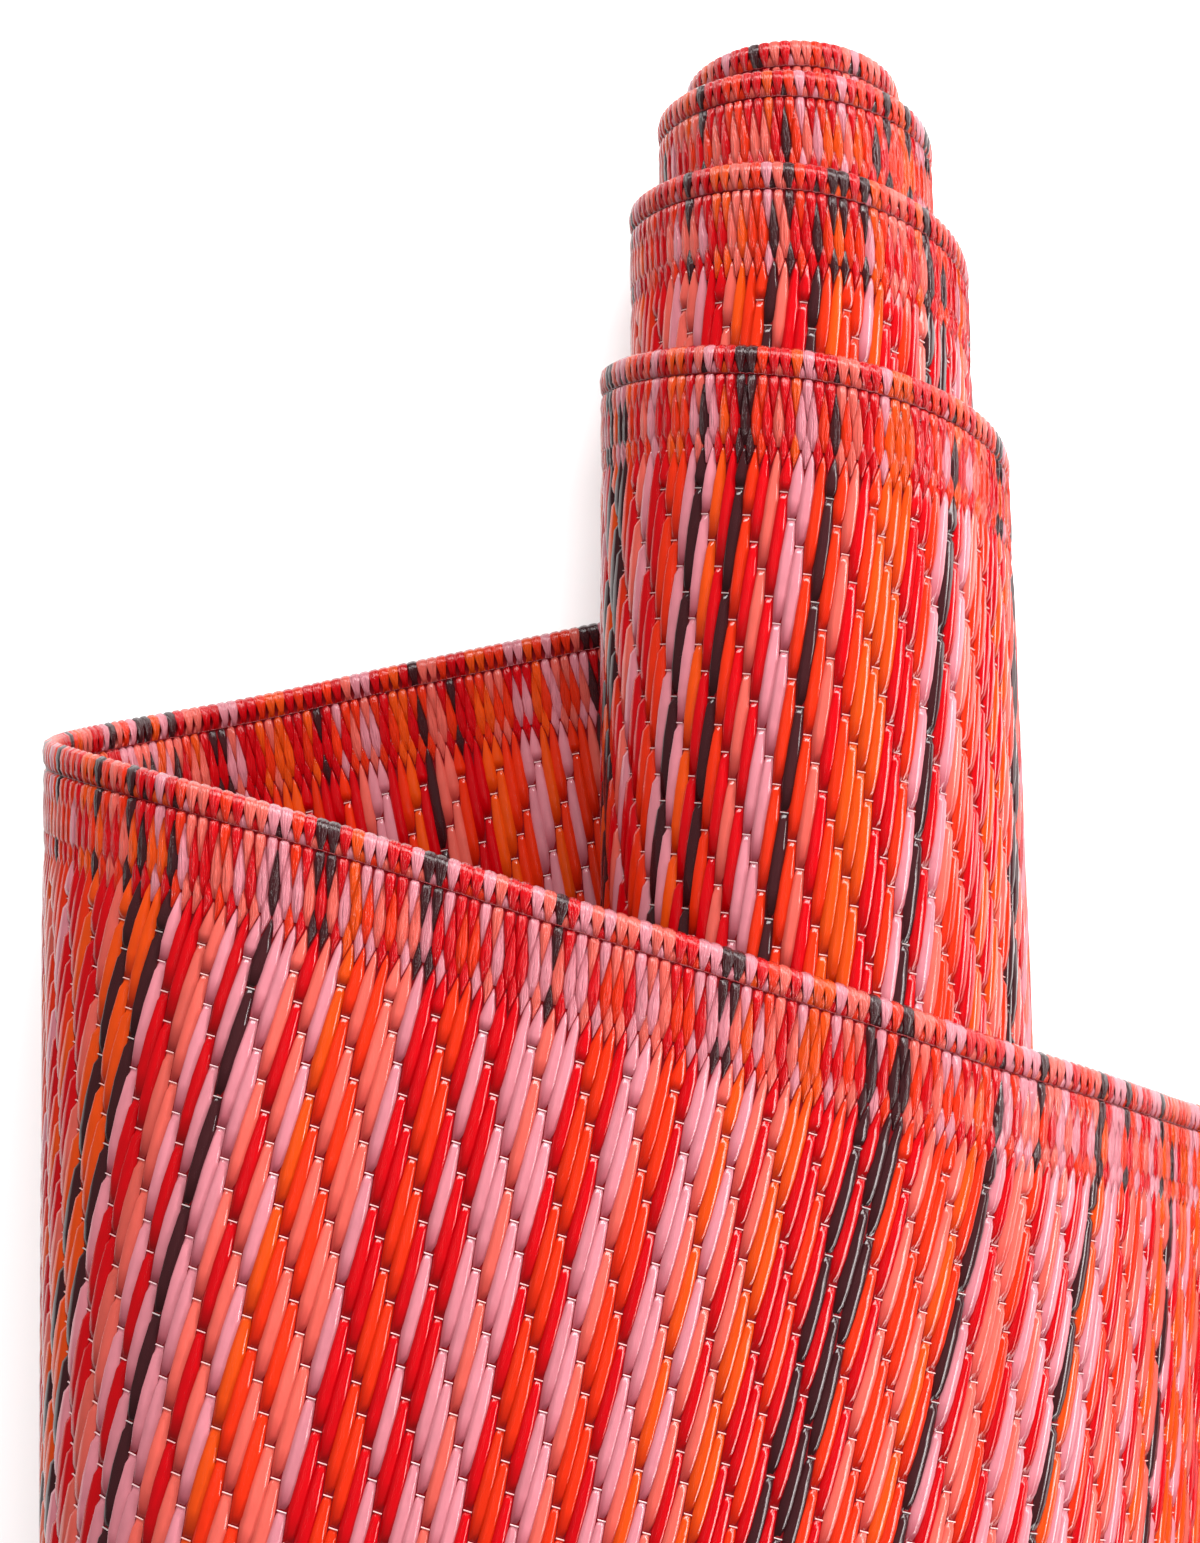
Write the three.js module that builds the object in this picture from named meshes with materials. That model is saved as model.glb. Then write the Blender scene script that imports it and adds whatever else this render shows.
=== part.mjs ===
// A woven runner rug, partly rolled up. It lies on the floor: the loose end starts flat at +X, climbs over
// the roll, turns in a wide fold at -X, comes back flat on the floor and is wound up as the roll.
// Millimetres, +Z up. The roll's axis runs along Y, and the strip's upper long edge is at +Y.
import * as THREE from "three";
import { mergeVertices } from "three/addons/utils/BufferGeometryUtils.js";

// The strip as it is cut and sewn
const stripWidth = 700;
const clothThickness = 5;
const jointGap = 0.3; // between the loose end and the start of the roll

// The loose end's section in XZ, from its hem to the roll: straights by length, bends by turn and radius
const hemX = 469.6;
const bends = [
  { name: "hem", length: 180 },
  { name: "lift", turn: -60, radius: 120 },
  { name: "shoulder", turn: 40, radius: 187 },
  { name: "top", turn: 20, radius: 380 },
  { name: "crown", length: 58 },
  { name: "fold", turn: 180 }, // its radius brings the strip back down to the floor
  { name: "back", length: 167.5 },
];

// The roll: its radius shrinks evenly with the angle turned, and each turn lies on the one below it
const rollRadius = 72.5; // of the cloth's middle, where the roll starts
const radiusPerTurn = 10.4;
const layerPitch = clothThickness + 0.4; // between two turns at the bottom
const rollTurns = 4; // turns whose edges show; the turns inside them are one core
const flatSpotAngle = THREE.MathUtils.degToRad(7.5);

// The roll and the folds grow slightly towards -Y
const taper = 2.0e-4; // per millimetre
const taperLevel = 200; // the height along Y where the sizes above are true
const foldSlant = -0.015; // the fold's sideways step per millimetre along Y

// Height along Y of the strip's upper edge, by the length wound off from the hem
const edgeRise = [
  { at: 0, rise: -58 },
  { at: 256, rise: -14.3 },
  { at: 327, rise: -4.4 },
  { at: 364, rise: 2.5 },
  { at: 401, rise: 10.9 },
  { at: 430, rise: 19.7 },
  { at: 525, rise: 48.3 },
  { at: 602.9, rise: 73.1 },
  { at: 695, rise: 99.5 },
  { at: 764, rise: 115 },
  { at: 843, rise: 135.2 },
  { at: 891.8, rise: 147.4 },
  { at: 969.5, rise: 163.9 },
  { at: 1165, rise: 205.5 },
  { at: 1272, rise: 227 },
  { at: 1376, rise: 241.5 },
  { at: 1571, rise: 274.5 },
  { at: 1662, rise: 294.3 },
  { at: 1750, rise: 300.5 },
  { at: 1913, rise: 322.5 },
  { at: 1987, rise: 332.5 },
  { at: 2059, rise: 334.3 },
  { at: 2189, rise: 345 },
  { at: 2247, rise: 349.8 },
  { at: 2302, rise: 347.5 },
  { at: 2500, rise: 338 },
];

// Lean of the straws across the strip, in degrees from Y
const strawLean = [
  { at: 0, lean: 12 },
  { at: 325, lean: 12.5 },
  { at: 450, lean: 13.3 },
  { at: 596.7, lean: 13.3 },
  { at: 753, lean: 11 },
  { at: 892.7, lean: 9 },
  { at: 1054, lean: 8 },
  { at: 1272, lean: 5.5 },
  { at: 1386, lean: 4.5 },
  { at: 1686, lean: 3 },
  { at: 1986, lean: 1.5 },
  { at: 2286, lean: 0 },
  { at: 2500, lean: 0 },
];

// Facets
const facetAngle = THREE.MathUtils.degToRad(7.5);
const facetLength = 30;
const hemColumns = 5;
const facetsPerTurn = 48;
const levels = 6; // rows of facets along Y on the loose end

const { degToRad } = THREE.MathUtils;

// A smooth curve through a table's rows: cubic pieces whose slopes follow the neighbouring rows.
function smooth(table, column, at) {
  const last = table.length - 1;
  let i = table.findIndex((row) => row.at > at) - 1;
  if (i < 0) i = at < table[0].at ? 0 : last - 1;
  const slope = (k) => {
    const a = table[Math.max(k - 1, 0)];
    const b = table[Math.min(k + 1, last)];
    return (b[column] - a[column]) / (b.at - a.at);
  };
  const from = table[i];
  const to = table[i + 1];
  const span = to.at - from.at;
  const q = Math.min(Math.max((at - from.at) / span, 0), 1);
  const q2 = q * q;
  const q3 = q2 * q;
  return (
    (2 * q3 - 3 * q2 + 1) * from[column] +
    (q3 - 2 * q2 + q) * span * slope(i) +
    (3 * q2 - 2 * q3) * to[column] +
    (q3 - q2) * span * slope(i + 1)
  );
}

const upperEdge = (at) => smooth(edgeRise, "rise", at);
const leanAt = (at) => degToRad(smooth(strawLean, "lean", at));

// The chain of straights and bends, each with the place and heading where it starts
function layOutSection() {
  let x = hemX;
  let z = clothThickness / 2;
  let heading = Math.PI;
  let at = 0;
  return bends.map((bend) => {
    const turn = degToRad(bend.turn ?? 0);
    const radius = bend.radius ?? (z - clothThickness / 2) / 2;
    const length = bend.length ?? Math.abs(turn) * radius;
    const start = { ...bend, at, x, z, heading, turn, radius, length };
    const end = alongBend(start, length);
    ({ x, z, heading } = end);
    at += length;
    return start;
  });
}

// A point of one straight or bend, at a length from its start
function alongBend(bend, distance) {
  if (!bend.turn) {
    return {
      x: bend.x + distance * Math.cos(bend.heading),
      z: bend.z + distance * Math.sin(bend.heading),
      heading: bend.heading,
    };
  }
  const signedRadius = Math.sign(bend.turn) * bend.radius;
  const heading = bend.heading + (bend.turn * distance) / bend.length;
  return {
    x: bend.x + signedRadius * (Math.sin(heading) - Math.sin(bend.heading)),
    z: bend.z - signedRadius * (Math.cos(heading) - Math.cos(bend.heading)),
    heading,
  };
}

const section = layOutSection();
const lastBend = section[section.length - 1];
const rollStart = lastBend.at + lastBend.length;
const rollX = alongBend(lastBend, lastBend.length).x;

// A point of the loose end's middle line in XZ
function loosePoint(at) {
  const bend = section.findLast((b) => b.at <= at + 1e-9) ?? section[0];
  return alongBend(bend, at - bend.at);
}

// A point of the spiral's middle line in XZ, by the angle wound from the bottom
function rollPoint(angle) {
  const radius = rollRadius - (radiusPerTurn * angle) / (2 * Math.PI);
  const lift = (layerPitch * angle) / (2 * Math.PI);
  return {
    x: rollX + radius * Math.sin(angle),
    z: clothThickness / 2 + lift + radius - radius * Math.cos(angle),
    heading: angle,
  };
}

// The length wound off from the hem, at an angle of the spiral
function lengthAt(angle) {
  return rollStart + rollRadius * angle - (radiusPerTurn * angle * angle) / (4 * Math.PI);
}

// Height of the lower long edge: the straw that ends there starts further back on the upper edge.
function lowerEdge(at) {
  let start = at;
  for (let i = 0; i < 12; i++) start = at - stripWidth * Math.sin(leanAt(start));
  return upperEdge(start) - stripWidth * Math.cos(leanAt(start));
}

// Puts a section point at its height along Y, with the taper and the fold's slant, offset along its normal.
function place(point, y, offset) {
  const growth = taper * (taperLevel - y);
  const blend = THREE.MathUtils.smoothstep(point.x, -110, 60);
  const rollLeft = rollRadius - 0.75 * radiusPerTurn; // the roll's left side stays upright
  const fromRoll = point.isRoll ? point.x - rollX : Math.max(point.x - rollX, 0);
  const foldShift = point.isRoll ? 0 : foldSlant * (y - taperLevel) * (1 - blend);
  const rollShift = (point.isRoll ? 1 : blend) * rollLeft * growth;
  const sideways = foldShift + rollShift + fromRoll * growth;
  const rest = clothThickness / 2;
  return new THREE.Vector3(
    point.x + sideways + offset * Math.sin(point.heading),
    y,
    rest + (point.z - rest) * (1 + growth) - offset * Math.cos(point.heading),
  );
}

// A closed geometry from polygons, each a list of points seen from outside in counterclockwise order
function closedGeometry(polygons) {
  const positions = [];
  for (const [first, ...others] of polygons) {
    for (let i = 0; i + 1 < others.length; i++) {
      for (const p of [first, others[i], others[i + 1]]) positions.push(p.x, p.y, p.z);
    }
  }
  const geometry = new THREE.BufferGeometry();
  geometry.setAttribute("position", new THREE.Float32BufferAttribute(positions, 3));
  const merged = mergeVertices(geometry, 1e-4);
  merged.computeVertexNormals();
  return merged;
}

// The loose end's facet columns: each runs from the upper long edge to the lower one.
function looseColumns() {
  const hemLean = leanAt(0);
  const hemCorner = {
    at: stripWidth * Math.sin(hemLean),
    y: upperEdge(0) - stripWidth * Math.cos(hemLean),
  };
  const hemEnd = section[0].length;
  const columns = [];
  for (let i = 0; i < hemColumns; i++) {
    const q = i / hemColumns;
    const top = { at: q * hemEnd, y: upperEdge(q * hemEnd) };
    const at = THREE.MathUtils.lerp(hemCorner.at, hemEnd, q);
    columns.push([top, i ? { at, y: lowerEdge(at) } : hemCorner]);
  }
  for (const bend of section.slice(1)) {
    const end = bend === lastBend ? bend.length - jointGap : bend.length;
    const pieces = Math.ceil(Math.max(Math.abs(bend.turn) / facetAngle, end / facetLength));
    for (let i = 0; i < pieces; i++) columns.push(straightColumn(bend.at + (end * i) / pieces));
  }
  columns.push(straightColumn(rollStart - jointGap));
  return columns;
}

function straightColumn(at) {
  return [
    { at, y: upperEdge(at) },
    { at, y: lowerEdge(at) },
  ];
}

// The loose end: a sheet with the outer face on the camera side of the loop and the inner face inside it
function looseEnd() {
  const outer = [];
  const inner = [];
  for (const [top, bottom] of looseColumns()) {
    const steps = Array.from({ length: levels + 1 }, (_, k) => k / levels);
    const points = steps.map((q) => {
      const at = THREE.MathUtils.lerp(top.at, bottom.at, q);
      return { point: loosePoint(at), y: THREE.MathUtils.lerp(top.y, bottom.y, q) };
    });
    outer.push(points.map(({ point, y }) => place(point, y, clothThickness / 2)));
    inner.push(points.map(({ point, y }) => place(point, y, -clothThickness / 2)));
  }
  const polygons = [];
  const last = outer.length - 1;
  for (let i = 0; i < last; i++) {
    for (let k = 0; k < levels; k++) {
      polygons.push([outer[i][k], outer[i + 1][k], outer[i + 1][k + 1], outer[i][k + 1]]);
      polygons.push([inner[i][k], inner[i][k + 1], inner[i + 1][k + 1], inner[i + 1][k]]);
    }
    polygons.push([outer[i][0], inner[i][0], inner[i + 1][0], outer[i + 1][0]]);
    polygons.push([outer[i][levels], outer[i + 1][levels], inner[i + 1][levels], inner[i][levels]]);
  }
  for (let k = 0; k < levels; k++) {
    polygons.push([outer[0][k], outer[0][k + 1], inner[0][k + 1], inner[0][k]]);
    polygons.push([outer[last][k], inner[last][k], inner[last][k + 1], outer[last][k + 1]]);
  }
  return closedGeometry(polygons);
}

// The roll: one spiral ramp at each end, with a step from each turn to the next one inside it
function roll() {
  const n = facetsPerTurn;
  const stations = n * rollTurns;
  const angleAt = (j) => (2 * Math.PI * j) / n;
  const outside = (j, y) => {
    const angle = angleAt(j);
    const p = place({ ...rollPoint(angle), isRoll: true }, y, clothThickness / 2);
    if (angle <= flatSpotAngle) p.z = 0;
    return p;
  };
  const top = (j) => upperEdge(lengthAt(angleAt(j)));
  const bottom = (j) => lowerEdge(lengthAt(angleAt(j)));
  const ends = [
    { rise: top, facesUp: true },
    { rise: bottom, facesUp: false },
  ];
  const polygons = [];
  const add = (facesUp, polygon) => polygons.push(facesUp ? polygon : polygon.reverse());
  for (const { rise, facesUp } of ends) {
    const rim = (j) => outside(j, rise(j));
    const ledge = (j) => outside(j + n, rise(j)); // where this turn's end meets the turn inside it
    const heart = outside(stations, rise(stations));
    heart.z += rollRadius - radiusPerTurn * rollTurns;
    for (let j = 0; j < stations; j++) {
      add(facesUp, [rim(j), ledge(j), ledge(j + 1), rim(j + 1)]);
      if (j < stations - n) add(facesUp, [ledge(j), rim(j + n), rim(j + 1 + n), ledge(j + 1)]);
      else add(facesUp, [ledge(j), heart, ledge(j + 1)]);
    }
    add(facesUp, [ledge(stations), heart, rim(stations)]);
    add(facesUp, [rim(stations), heart, ledge(stations - n)]);
  }
  for (let j = 0; j < n - 1; j++) {
    polygons.push([
      outside(j, top(j)),
      outside(j + 1, top(j + 1)),
      outside(j + 1, bottom(j + 1)),
      outside(j, bottom(j)),
    ]);
  }
  polygons.push([
    outside(n - 1, bottom(n - 1)),
    outside(n - 1, top(n - 1)),
    outside(n, top(n)),
    outside(n, top(0)),
    outside(n, bottom(n)),
  ]);
  polygons.push([
    outside(0, bottom(0)),
    outside(n, bottom(0)),
    outside(n, bottom(n)),
    outside(n, top(0)),
    outside(0, top(0)),
  ]);
  return closedGeometry(polygons);
}

const strawRed = new THREE.MeshStandardMaterial({ color: 0xe8402c, roughness: 0.3, metalness: 0 });
const strawCoral = new THREE.MeshStandardMaterial({ color: 0xf0705c, roughness: 0.3, metalness: 0 });

function part(name, geometry, material) {
  const mesh = new THREE.Mesh(geometry, material);
  mesh.name = name;
  return mesh;
}

const rug = new THREE.Group();
rug.add(part("loose_end", looseEnd(), strawCoral));
rug.add(part("roll", roll(), strawRed));

// The origin is on the floor, under the middle of the whole rug.
const box = new THREE.Box3().setFromObject(rug);
rug.position.set(-(box.min.x + box.max.x) / 2, -(box.min.y + box.max.y) / 2, -box.min.z);

export default rug;
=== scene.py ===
import bpy
import numpy as np
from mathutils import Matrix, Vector


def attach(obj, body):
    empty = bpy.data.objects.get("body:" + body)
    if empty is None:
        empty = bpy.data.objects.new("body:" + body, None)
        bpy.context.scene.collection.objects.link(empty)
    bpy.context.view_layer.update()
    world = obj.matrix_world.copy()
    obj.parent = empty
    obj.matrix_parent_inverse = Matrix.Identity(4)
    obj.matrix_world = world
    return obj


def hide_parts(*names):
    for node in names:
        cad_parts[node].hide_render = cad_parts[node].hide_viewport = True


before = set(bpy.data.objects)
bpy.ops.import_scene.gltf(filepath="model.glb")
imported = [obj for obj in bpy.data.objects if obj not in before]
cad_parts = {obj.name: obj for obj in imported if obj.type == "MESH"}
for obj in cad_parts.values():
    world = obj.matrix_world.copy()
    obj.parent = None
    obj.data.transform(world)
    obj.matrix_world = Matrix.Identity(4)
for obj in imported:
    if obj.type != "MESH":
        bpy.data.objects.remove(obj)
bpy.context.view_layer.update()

cloth = {
    "stripWidth": 700.0,
    "stripLength": 2500.0,
    "thickness": 5.0,
    "repeat": 33.5,  # from one dip of a straw to its next
    "strawPitch": 3.55,  # between neighbouring straws of one face
    "zeroInFrame": (-154.827, 196.423),  # where this layout's zero lies in the frame, in X and Y
    "floorGap": 0.02,
}

section = {
    "hemX": 469.6,
    # kind of stretch, its length or its turn in degrees, its radius (0: whatever brings it to the
    # floor)
    "stretches": [
        ("straight", 180.0, 0.0),
        ("bend", -60.0, 120.0),
        ("bend", 40.0, 187.0),
        ("bend", 20.0, 380.0),
        ("straight", 58.0, 0.0),
        ("bend", 180.0, 0.0),
        ("straight", 167.5, 0.0),
    ],
    "rollRadius": 72.5,
    "radiusPerTurn": 10.4,
    "liftPerTurn": 5.4,  # each turn lies on the one below it
    "taper": 2.0e-4,  # growth of roll and folds per millimetre towards -Y
    "taperLevel": 200.0,
    "turnsToLeft": 0.75,  # turns wound up at the roll's left side, where the taper is measured from
    "foldSlant": -0.015,
    "blendFrom": -110.0,  # X where the fold's slant gives way to the roll's taper
    "blendTo": 60.0,
}

# Height of the upper edge along Y, by the length along the strip
edgeRise = np.array([
    (0, -58), (256, -14.3), (327, -4.4), (364, 2.5), (401, 10.9), (430, 19.7), (525, 48.3),
    (602.9, 73.1), (695, 99.5), (764, 115), (843, 135.2), (891.8, 147.4), (969.5, 163.9),
    (1165, 205.5), (1272, 227), (1376, 241.5), (1571, 274.5), (1662, 294.3), (1750, 300.5),
    (1913, 322.5), (1987, 332.5), (2059, 334.3), (2189, 345), (2247, 349.8), (2302, 347.5),
    (2500, 338),
], float)

# Lean of the straws from Y in degrees, by the length along the strip
strawLean = np.array([
    (0, 12), (325, 12.5), (450, 13.3), (596.7, 13.3), (753, 11), (892.7, 9), (1054, 8), (1272, 5.5),
    (1386, 4.5), (1686, 3), (1986, 1.5), (2286, 0), (2500, 0),
], float)

# How much further the straws lean than the strip's own lines do, in degrees, by the length along
# the strip: in the field, and the other way in the edge bands
fieldSkew = np.array([
    (0, 4.5), (340, 4.6), (400, 4.4), (460, 3.2), (520, 1.4), (570, 1.2), (620, 4), (680, 5.5),
    (740, 3), (800, 0.5), (1080, 1), (1200, 3.4), (2500, 3.5),
], float)
bandSkew = np.array([
    (0, -5), (560, -5), (640, -8), (720, -6), (800, 0), (1080, 0), (1200, -3), (2500, -3),
], float)


# A smooth curve through a table's rows: between two rows a cubic in the share q of the way, which
# has the rows' values at its ends and there the slopes of the lines through the neighbouring rows
def smoothTable(table, at):
    x, y = table[:, 0], table[:, 1]
    last = len(x) - 1
    row = np.arange(last + 1)
    before, after = np.maximum(row - 1, 0), np.minimum(row + 1, last)
    slope = (y[after] - y[before]) / (x[after] - x[before])
    i = np.clip(np.searchsorted(x, at, side="right") - 1, 0, last - 1)
    span = x[i + 1] - x[i]
    q = np.clip((at - x[i]) / span, 0, 1)
    return (
        (2 * q**3 - 3 * q**2 + 1) * y[i]
        + (q**3 - 2 * q**2 + q) * span * slope[i]
        + (3 * q**2 - 2 * q**3) * y[i + 1]
        + (q**3 - q**2) * span * slope[i + 1]
    )


# From 0 at low to 1 at high: three times the square of the share of the way, less twice its cube
def smoothStep(value, low, high):
    q = np.clip((value - low) / (high - low), 0, 1)
    return q * q * (3 - 2 * q)


# The loose end's section: each stretch starts where the one before it ends, with its heading. A
# bend's chord is its radius times the change of the heading's sine and cosine
def layOutSection():
    rows = []
    x, z, heading, at = section["hemX"], cloth["thickness"] / 2, np.pi, 0.0
    for kind, amount, givenRadius in section["stretches"]:
        turn = np.radians(amount) if kind == "bend" else 0.0
        radius = givenRadius or (z - cloth["thickness"] / 2) / 2
        length = abs(turn) * radius if turn else amount
        rows.append((at, x, z, heading, turn, radius, length))
        if turn:
            signed = np.sign(turn) * radius
            x += signed * (np.sin(heading + turn) - np.sin(heading))
            z -= signed * (np.cos(heading + turn) - np.cos(heading))
            heading += turn
        else:
            x += length * np.cos(heading)
            z += length * np.sin(heading)
        at += length
    return np.array(rows), at, x


stretchRows, rollStart, rollX = layOutSection()


# A point of the loose end's middle line: along a straight by the length times the heading's cosine
# and sine, round a bend by the radius times the change of the heading's sine and cosine
def looseLine(u):
    i = np.clip(np.searchsorted(stretchRows[:, 0], u, side="right") - 1, 0, len(stretchRows) - 1)
    at, x0, z0, start, turn, radius, length = (stretchRows[i, k] for k in range(7))
    signed = np.sign(turn) * radius
    heading = start + np.where(turn == 0, 0, turn * (u - at) / length)
    straight, way = turn == 0, u - at
    x = x0 + np.where(straight, way * np.cos(start), signed * (np.sin(heading) - np.sin(start)))
    z = z0 + np.where(straight, way * np.sin(start), signed * (np.cos(start) - np.cos(heading)))
    return x, z, heading


# The angle wound up at a length along the strip, from the length past the roll's start, which is
# the radius times the angle less a quarter of the shrinkage per turn times the angle's square over
# pi
def windingAngle(u):
    radius, shrink = section["rollRadius"], section["radiusPerTurn"]
    inside = radius**2 - shrink * (u - rollStart) / np.pi
    return (radius - np.sqrt(np.maximum(inside, 0))) * 2 * np.pi / shrink


# The length along the strip at an angle wound up, by the same formula
def lengthAtAngle(angle):
    radius, shrink = section["rollRadius"], section["radiusPerTurn"]
    return rollStart + radius * angle - shrink * angle**2 / (4 * np.pi)


# A point of the roll's spiral: a circle's sine and one less its cosine, times a radius that shrinks
# evenly with the angle, while the circle's foot rises by one layer a turn
def rollLine(u):
    angle = windingAngle(u)
    turns = angle / (2 * np.pi)
    radius = section["rollRadius"] - section["radiusPerTurn"] * turns
    x = rollX + radius * np.sin(angle)
    z = cloth["thickness"] / 2 + section["liftPerTurn"] * turns + radius * (1 - np.cos(angle))
    return x, z, angle


# How far along the strip the skew carries a straw on its way from the upper edge: the way done in
# the bands and in the field, each times the tangent of its skew
def strawSkew(s, v):
    band, width = cloth["repeat"], cloth["stripWidth"]
    inBands = np.minimum(v, band) + np.maximum(v - (width - band), 0)
    inField = np.clip(v - band, 0, width - 2 * band)
    return (
        np.tan(np.radians(smoothTable(bandSkew, s))) * inBands
        + np.tan(np.radians(smoothTable(fieldSkew, s))) * inField
    )


# Where a point of the cloth lies in the frame, in metres. The straw runs down from the upper edge
# by v times the cosine of its lean, and along the strip by v times the sine. Its place on the
# section grows by the taper times the way below the taper's level, is slanted by the fold's slant
# times that way, and is moved off by its offset along the section's normal
def clothPoint(s, v, offset):
    s, v, offset = np.broadcast_arrays(s, v, offset)
    s = s + strawSkew(s, v)
    lean = np.radians(smoothTable(strawLean, s))
    u = s + v * np.sin(lean)
    y = smoothTable(edgeRise, s) - v * np.cos(lean)
    wound = u >= rollStart
    looseX, looseZ, looseHeading = looseLine(np.minimum(u, rollStart))
    rollPlaceX, rollPlaceZ, rollHeading = rollLine(np.maximum(u, rollStart))
    x = np.where(wound, rollPlaceX, looseX)
    z = np.where(wound, rollPlaceZ, looseZ)
    heading = np.where(wound, rollHeading, looseHeading)
    growth = section["taper"] * (section["taperLevel"] - y)
    blend = np.where(wound, 1.0, smoothStep(x, section["blendFrom"], section["blendTo"]))
    rollLeft = section["rollRadius"] - section["turnsToLeft"] * section["radiusPerTurn"]
    fromRoll = np.where(wound, x - rollX, np.maximum(x - rollX, 0))
    slant = section["foldSlant"] * (y - section["taperLevel"]) * (1 - blend)
    rest = cloth["thickness"] / 2
    points = np.stack([
        x + slant + blend * rollLeft * growth + fromRoll * growth + offset * np.sin(heading)
        + cloth["zeroInFrame"][0],
        y + cloth["zeroInFrame"][1],
        rest + (z - rest) * (1 + growth) - offset * np.cos(heading),
    ], axis=-1)
    points[..., 2] = np.maximum(points[..., 2], cloth["floorGap"])
    return points / 1000


# Joins four-cornered faces into one mesh object with its own UV map and straw colours
def makePiece(name, points, faces, uv, colours, material, normals=None):
    mesh = bpy.data.meshes.new(name)
    mesh.vertices.add(len(points))
    mesh.vertices.foreach_set("co", points.astype(np.float32).ravel())
    mesh.loops.add(faces.size)
    mesh.loops.foreach_set("vertex_index", faces.astype(np.int32).ravel())
    mesh.polygons.add(len(faces))
    mesh.polygons.foreach_set("loop_start", np.arange(0, faces.size, 4, dtype=np.int32))
    mesh.update(calc_edges=True)
    uvLayer = mesh.uv_layers.new(name="strawUV")
    uvLayer.data.foreach_set("uv", uv[faces.ravel()].astype(np.float32).ravel())
    colourLayer = mesh.color_attributes.new(name="strawColour", type="FLOAT_COLOR", domain="POINT")
    rgba = np.concatenate([colours, np.ones((len(colours), 1))], axis=1)
    colourLayer.data.foreach_set("color", rgba.astype(np.float32).ravel())
    mesh.polygons.foreach_set("use_smooth", np.ones(len(faces), bool))
    mesh.materials.append(material)
    mesh.validate()
    if normals is not None:
        mesh.normals_split_custom_set_from_vertices(normals.astype(np.float32))
    piece = bpy.data.objects.new(name, mesh)
    bpy.context.scene.collection.objects.link(piece)
    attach(piece, "root")
    print(name, len(faces) * 2, "triangles")
    return piece


# Faces of many equal grids, each rows by columns of points, turned over where the inner face is
# meant
def gridFaces(count, rows, columns, turned):
    corner = (np.arange(rows - 1)[:, None] * columns + np.arange(columns - 1)[None]).ravel()
    quads = np.stack([corner, corner + 1, corner + columns + 1, corner + columns], axis=1)
    if turned:
        quads = quads[:, ::-1]
    return (quads[None] + (np.arange(count) * rows * columns)[:, None, None]).reshape(-1, 4)


# Normals of a patch: the cross product of the steps between its columns and between its rows. On a
# straw, four columns wide, most of a shoulder's step is that of the flat top
def patchNormals(points, turned):
    tiny = 1e-15  # keeps a step of no length from being divided by nought
    step = np.diff(points, axis=2)
    step = step / (np.linalg.norm(step, axis=-1, keepdims=True) + tiny)
    between = (step[:, :, :-1] + step[:, :, 1:]) / 2
    across = np.concatenate([step[:, :, :1], between, step[:, :, -1:]], axis=2)
    if points.shape[2] == len(straws["across"]):
        top, side = straws["flatness"], 1 - straws["flatness"]
        across[:, :, 1] = top * step[:, :, 1] + side * step[:, :, 0]
        across[:, :, 2] = top * step[:, :, 1] + side * step[:, :, 2]
    normal = np.cross(across, np.gradient(points, axis=1))
    normal = normal / (np.linalg.norm(normal, axis=-1, keepdims=True) + tiny)
    return (-normal if turned else normal).reshape(-1, 3)


# Gathers patches of straw, (points, uv, colours by patch and row, turned) each, into one piece
def joinPatches(name, patches, material):
    allPoints, allFaces, allUv, allColours, allNormals, first = [], [], [], [], [], 0
    for points, uv, colours, turned in patches:
        count, rows, columns = points.shape[:3]
        allFaces.append(gridFaces(count, rows, columns, turned) + first)
        allPoints.append(points.reshape(-1, 3))
        allNormals.append(patchNormals(points, turned))
        allUv.append(uv.reshape(-1, 2))
        spread = np.broadcast_to(colours[:, :, None], (count, rows, columns, 3))
        allColours.append(spread.reshape(-1, 3))
        first += count * rows * columns
    points, faces, uv, colours, normals = (
        np.concatenate(part) for part in (allPoints, allFaces, allUv, allColours, allNormals)
    )
    return makePiece(name, points, faces, uv, colours, material, normals)


strawColours = {
    "seed": 41,
    "sameAsNeighbour": 0.10,
    # sRGB, share among the reddish stretches, share among the pinkish ones
    "palette": [
        ((224, 2, 16), 0.33, 0.21),
        ((250, 52, 16), 0.24, 0.14),
        ((255, 84, 18), 0.11, 0.07),
        ((250, 108, 94), 0.12, 0.24),
        ((240, 146, 158), 0.09, 0.23),
        ((70, 30, 34), 0.11, 0.11),
    ],
    # where along the strip pinkish straws are most common: length, spread, strength
    "pinkStretches": [(60, 70, 0.8), (360, 60, 1.0), (500, 40, 0.7), (610, 60, 0.8), (830, 90, 0.7),
                      (990, 60, 0.4), (1290, 22, 0.4), (1620, 30, 0.4)],
    "shade": 0.05,  # how much single straws differ from their colour
    "albedo": 0.53,
}
rng = np.random.default_rng(strawColours["seed"])
strawCount = int(cloth["stripLength"] / cloth["strawPitch"])
strawStart = (np.arange(strawCount) + 0.5) * cloth["strawPitch"]


# The usual sRGB curve: a straight line near black, else a power of 2.4
def toLinear(srgb):
    c = np.asarray(srgb, float) / 255
    return np.where(c <= 0.04045, c / 12.92, ((c + 0.055) / 1.055) ** 2.4)


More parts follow.
